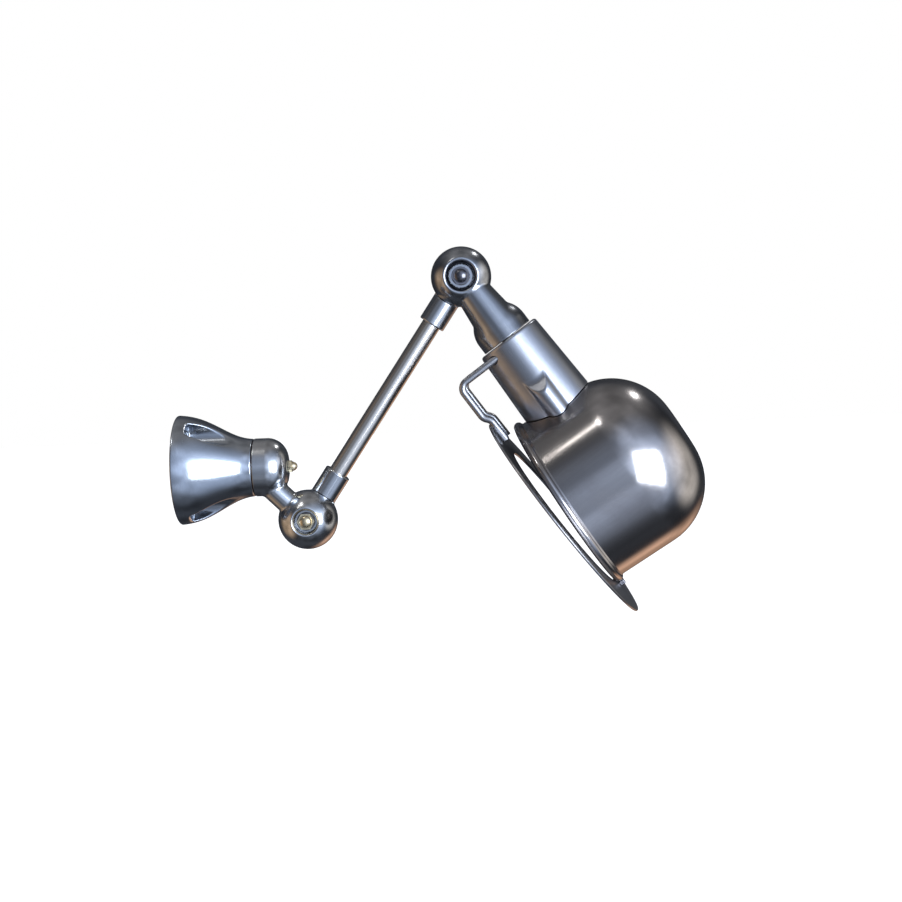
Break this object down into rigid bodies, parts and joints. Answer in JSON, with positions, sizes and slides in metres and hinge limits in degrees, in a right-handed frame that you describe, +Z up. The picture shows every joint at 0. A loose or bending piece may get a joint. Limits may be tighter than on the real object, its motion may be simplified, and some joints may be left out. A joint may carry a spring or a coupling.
{
  "type": "swing arm wall sconce",
  "caption": "Swing arm wall sconce: bell base, swivel cap, split-ball elbows, tube arm, turning head with a deep bowl shade, flat front ring and wire handle.",
  "frame": {"origin": "centre of the bell base on the wall plane", "axes": "+X straight out of the wall along the base swivel axis, +Z up, the split planes of both ball elbows lie on Y = 0, and -Y is the side with the acorn nuts"},
  "size_m": [0.3648, 0.165, 0.2565],
  "materials": {
    "cast_steel": "polished and slightly brushed",
    "tube_steel": "polished",
    "bowl_steel": "dark mirror polish",
    "screw_steel": "plain zinc plate",
    "dark_chrome": "dark polished plate",
    "brass": "satin, slightly tarnished",
    "fibre": "pressed fibre",
    "phenolic": "moulded black",
    "ceramic": "glazed white",
    "rubber": "matt",
    "glass": "pearl lamp glass"
  },
  "bodies": {
    "wall_base": {"bell_base": "cast_steel", "terminal_strap": "screw_steel", "strap_screw_1": "screw_steel", "strap_screw_2": "screw_steel", "terminal_block": "ceramic", "terminal_block_screw": "screw_steel", "swivel_bolt": "screw_steel", "swivel_spring_washer": "screw_steel", "swivel_acorn_nut": "brass", "swivel_friction_washer": "fibre"},
    "swivel": {"swivel_elbow": "cast_steel", "lower_pivot_bolt": "screw_steel", "lower_spring_washer": "screw_steel", "lower_acorn_nut": "brass", "lower_friction_disc": "fibre"},
    "arm": {"lower_arm_knuckle": "cast_steel", "lower_grub_screw": "screw_steel", "arm_tube": "tube_steel", "arm_lead": "rubber", "upper_arm_knuckle": "cast_steel", "upper_grub_screw": "screw_steel"},
    "neck": {"head_knuckle": "cast_steel", "upper_pivot_bolt": "screw_steel", "upper_spring_washer": "screw_steel", "upper_dome_nut": "dark_chrome", "upper_friction_disc": "fibre", "head_nipple": "brass", "head_friction_washer": "fibre", "nipple_spring_washer": "screw_steel", "nipple_nut": "brass"},
    "head": {"lamp_housing": "cast_steel", "bowl_shade": "bowl_steel", "bowl_screw_left": "screw_steel", "bowl_screw_right": "screw_steel", "front_ring": "bowl_steel", "ring_clip": "dark_chrome", "ring_clip_screw": "screw_steel", "handle_wire_left": "tube_steel", "handle_wire_right": "tube_steel", "holder_plate": "screw_steel", "holder_plate_screw_1": "screw_steel", "holder_plate_screw_2": "screw_steel", "holder_nipple": "brass", "holder_nipple_nut": "brass", "lampholder_cap": "phenolic", "lampholder_skirt": "phenolic", "shade_ring": "phenolic", "centre_contact": "brass", "screw_shell": "brass", "bulb_contact": "screw_steel", "bulb_cap": "brass", "bulb_glass": "glass"}
  },
  "joints": [
    {"name": "base_swivel", "type": "hinge", "parent": "wall_base", "child": "swivel", "pos_m": [0, 0, 0], "axis": [1, 0, 0], "range_deg": [-170, 170]},
    {"name": "lower_elbow", "type": "hinge", "parent": "swivel", "child": "arm", "pos_m": [0.0881, 0, -0.0377], "axis": [0, 1, 0], "range_deg": [-30, 120]},
    {"name": "upper_elbow", "type": "hinge", "parent": "arm", "child": "neck", "pos_m": [0.20167, 0, 0.12693], "axis": [0, 1, 0], "range_deg": [-120, 12]},
    {"name": "head_turn", "type": "hinge", "parent": "neck", "child": "head", "pos_m": [0.20167, 0, 0.12693], "axis": [0.5779, 0, -0.8161], "range_deg": [-160, 160]}
  ]
}
